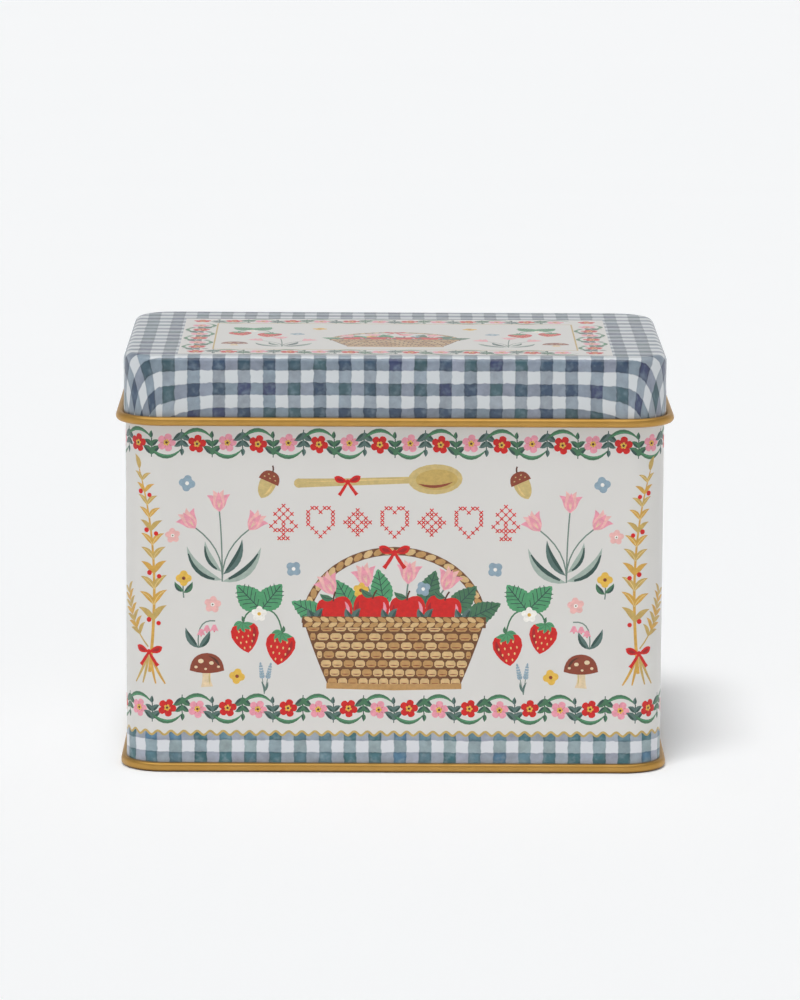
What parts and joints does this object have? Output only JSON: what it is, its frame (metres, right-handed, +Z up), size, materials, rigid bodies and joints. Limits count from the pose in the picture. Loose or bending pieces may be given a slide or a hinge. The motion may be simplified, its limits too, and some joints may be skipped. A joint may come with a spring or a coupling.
{
  "type": "index card box",
  "caption": "Hinged tinplate box with a rolled bead and curled base rim, holding a leaning file of index cards behind tabbed guides.",
  "frame": {"origin": "middle of the footprint, on the surface the box stands on", "axes": "+Z up, the front faces -Y, the hinge is at +Y, +X to the right seen from the front"},
  "size_m": [0.1742, 0.1088, 0.1314],
  "materials": {
    "printed_wall": "semi-gloss enamel print on tinplate",
    "gold_base": "gold lacquer on tinplate",
    "printed_lid": "semi-gloss enamel print on tinplate",
    "hinge_steel": "satin",
    "guide_stock": "matt card",
    "card_stock": "matt card"
  },
  "bodies": {
    "tin": {"body_wall": "printed_wall", "base_pan": "gold_base", "hinge_strap_left": "hinge_steel", "hinge_strap_right": "hinge_steel"},
    "lid": {"lid": "printed_lid", "hinge_wire": "hinge_steel"},
    "file_1": {"guide_1": "guide_stock", "cards_1": "card_stock"},
    "file_2": {"guide_2": "guide_stock", "cards_2": "card_stock"},
    "file_3": {"guide_3": "guide_stock", "cards_3": "card_stock"},
    "file_4": {"guide_4": "guide_stock", "cards_4": "card_stock"},
    "file_5": {"guide_5": "guide_stock", "cards_5": "card_stock"},
    "file_6": {"guide_6": "guide_stock", "cards_6": "card_stock"},
    "file_7": {"guide_7": "guide_stock", "cards_7": "card_stock"},
    "file_8": {"guide_8": "guide_stock", "cards_8": "card_stock"}
  },
  "joints": [
    {"name": "lid_hinge", "type": "hinge", "parent": "tin", "child": "lid", "pos_m": [0, 0.05305, 0.11117], "axis": [-1, 0, 0], "range_deg": [0, 110]},
    {"name": "file_1_tilt", "type": "hinge", "parent": "tin", "child": "file_1", "pos_m": [0, 0.0003, 0.00288], "axis": [1, 0, 0], "range_deg": [0, 30]},
    {"name": "file_2_tilt", "type": "hinge", "parent": "tin", "child": "file_2", "pos_m": [0, 0.0049, 0.00288], "axis": [1, 0, 0], "range_deg": [0, 26.25]},
    {"name": "file_3_tilt", "type": "hinge", "parent": "tin", "child": "file_3", "pos_m": [0, 0.00951, 0.00288], "axis": [1, 0, 0], "range_deg": [0, 22.5]},
    {"name": "file_4_tilt", "type": "hinge", "parent": "tin", "child": "file_4", "pos_m": [0, 0.01411, 0.00288], "axis": [1, 0, 0], "range_deg": [0, 18.75]},
    {"name": "file_5_tilt", "type": "hinge", "parent": "tin", "child": "file_5", "pos_m": [0, 0.01871, 0.00288], "axis": [1, 0, 0], "range_deg": [0, 15]},
    {"name": "file_6_tilt", "type": "hinge", "parent": "tin", "child": "file_6", "pos_m": [0, 0.02332, 0.00288], "axis": [1, 0, 0], "range_deg": [0, 11.25]},
    {"name": "file_7_tilt", "type": "hinge", "parent": "tin", "child": "file_7", "pos_m": [0, 0.02792, 0.00288], "axis": [1, 0, 0], "range_deg": [0, 7.5]},
    {"name": "file_8_tilt", "type": "hinge", "parent": "tin", "child": "file_8", "pos_m": [0, 0.03252, 0.00288], "axis": [1, 0, 0], "range_deg": [0, 3.75]}
  ],
  "couplings": [
    {"joint": "file_2_tilt", "follows": "file_1_tilt", "ratio": 0.875},
    {"joint": "file_3_tilt", "follows": "file_1_tilt", "ratio": 0.75},
    {"joint": "file_4_tilt", "follows": "file_1_tilt", "ratio": 0.625},
    {"joint": "file_5_tilt", "follows": "file_1_tilt", "ratio": 0.5},
    {"joint": "file_6_tilt", "follows": "file_1_tilt", "ratio": 0.375},
    {"joint": "file_7_tilt", "follows": "file_1_tilt", "ratio": 0.25},
    {"joint": "file_8_tilt", "follows": "file_1_tilt", "ratio": 0.125}
  ]
}
